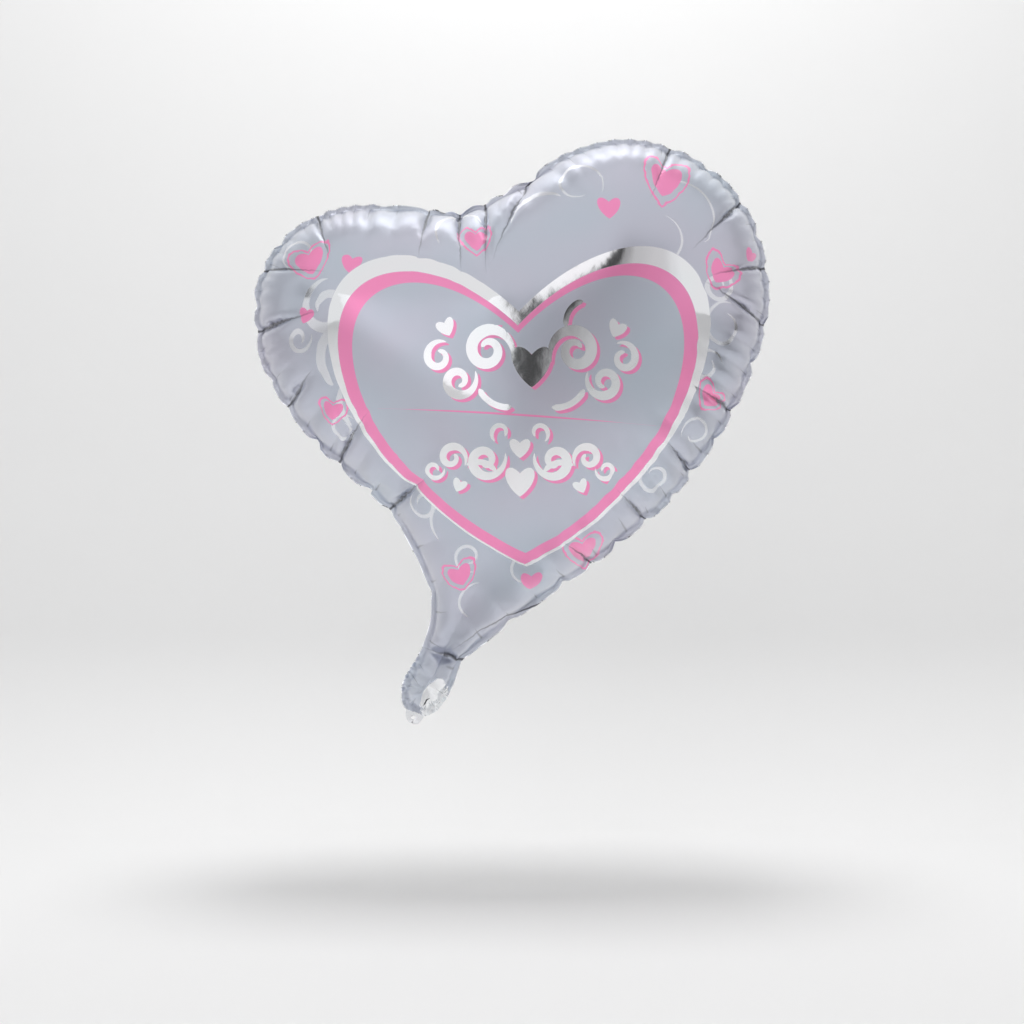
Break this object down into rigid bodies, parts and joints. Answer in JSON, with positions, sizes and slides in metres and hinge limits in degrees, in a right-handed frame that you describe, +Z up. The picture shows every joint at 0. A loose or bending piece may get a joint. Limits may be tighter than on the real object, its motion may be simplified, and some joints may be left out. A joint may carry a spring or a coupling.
{
  "type": "heart-shaped foil balloon",
  "caption": "Inflated heart-shaped foil balloon with two welded film panels, a curved tail, an inlet slit, a self-sealing valve and a tie tab.",
  "frame": {"origin": "centre of the tie hole in the tab at the end of the tail, in the plane of the edge weld", "axes": "+Z up the balloon from the tail to the lobes, -Y out of the printed front, +X to the right as seen from the front"},
  "size_m": [0.3754, 0.184, 0.4266],
  "materials": {
    "printed_film": "satin grey and pink ink on metallised film, with bare mirror areas",
    "silver_film": "plain metallised film, mirror bright",
    "valve_film": "clear thin polyethylene"
  },
  "bodies": {
    "envelope": {"front_panel": "printed_film", "back_panel": "silver_film"},
    "tail": {"tail_front": "printed_film", "tail_back": "silver_film", "valve_rear_ply": "valve_film"},
    "valve_flap": {"valve_front_ply": "valve_film"},
    "tab": {"tie_tab": "silver_film"}
  },
  "joints": [
    {"name": "tail_bend", "type": "hinge", "parent": "envelope", "child": "tail", "pos_m": [0.0215, 0, 0.046], "axis": [0.9454, 0, -0.326], "range_deg": [-30, 30], "stiffness_Nm_per_rad": 0.02},
    {"name": "valve_lift", "type": "hinge", "parent": "tail", "child": "valve_flap", "pos_m": [0.0088, 0, 0.016], "axis": [0.9209, 0, -0.3898], "range_deg": [0, 5], "stiffness_Nm_per_rad": 0.002},
    {"name": "tab_fold", "type": "hinge", "parent": "tail", "child": "tab", "pos_m": [0.0011, 0, 0.0033], "axis": [0.9381, 0, -0.3464], "range_deg": [-90, 90], "stiffness_Nm_per_rad": 0.0005}
  ]
}
